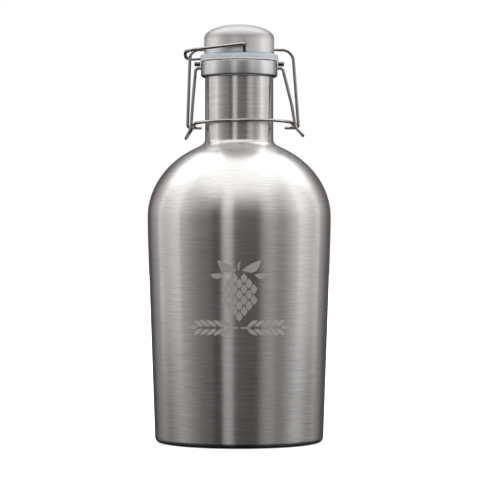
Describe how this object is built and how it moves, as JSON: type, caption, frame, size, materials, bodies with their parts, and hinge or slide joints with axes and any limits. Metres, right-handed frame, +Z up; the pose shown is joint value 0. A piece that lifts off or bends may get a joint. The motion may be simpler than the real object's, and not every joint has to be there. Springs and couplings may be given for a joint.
{
  "type": "swing-top growler",
  "caption": "Double-walled steel growler with a domed shoulder, narrow neck and a swing-top lid that a wire lever and bail clamp onto a silicone gasket.",
  "frame": {"origin": "centre of the flat ring the bottle stands on", "axes": "+Z up along the bottle's axis, -Y towards the front, where the lever's hoop passes; the lever, pins and bail turn about axes along X, and the retainer loop lies on the -X side"},
  "size_m": [0.1282, 0.1282, 0.2916],
  "materials": {
    "body_steel": "fine circumferential brushing",
    "inner_steel": "plain drawn steel",
    "collar_steel": "turned and brushed",
    "cap_steel": "fine circumferential brushing",
    "wire_steel": "drawn wire, half bright",
    "solder": "dull fused metal",
    "getter": "porous sintered metal",
    "core_plastic": "moulded",
    "foam": "closed-cell foam",
    "plug_plastic": "moulded, food-safe",
    "silicone": "smooth translucent silicone"
  },
  "bodies": {
    "bottle": {"outer_shell": "body_steel", "outer_base": "body_steel", "base_seal_disc": "body_steel", "vacuum_seal_bead": "solder", "inner_flask": "inner_steel", "inner_base": "inner_steel", "getter_pellet": "getter", "getter_clip": "inner_steel", "mouth_ring": "body_steel", "neck_collar": "collar_steel", "stud_left": "wire_steel", "stud_right": "wire_steel"},
    "lever": {"lever_wire": "wire_steel"},
    "bail": {"bail_wire": "wire_steel"},
    "lid": {"lid_cap": "cap_steel", "lid_core": "core_plastic", "lid_core_clamp": "core_plastic", "lid_insulation": "foam", "lid_plug": "plug_plastic", "lid_gasket": "silicone"},
    "loop": {"retainer_loop": "wire_steel"}
  },
  "joints": [
    {"name": "lever_pivot", "type": "hinge", "parent": "bottle", "child": "lever", "pos_m": [0, 0, 0.261], "axis": [-1, 0, 0], "range_deg": [0, 100]},
    {"name": "bail_pivot", "type": "hinge", "parent": "lever", "child": "bail", "pos_m": [0, 0, 0.2193], "axis": [-1, 0, 0], "range_deg": [-35, 0]},
    {"name": "lid_pivot", "type": "hinge", "parent": "bail", "child": "lid", "pos_m": [0, 0, 0.274], "axis": [-1, 0, 0], "range_deg": [-65, 0]},
    {"name": "loop_pivot", "type": "hinge", "parent": "lid", "child": "loop", "pos_m": [0.0035, 0, 0.2763], "axis": [0, 1, 0], "range_deg": [0, 180]}
  ],
  "couplings": [
    {"joint": "bail_pivot", "follows": "lever_pivot", "ratio": -0.35},
    {"joint": "lid_pivot", "follows": "lever_pivot", "ratio": -0.65}
  ]
}
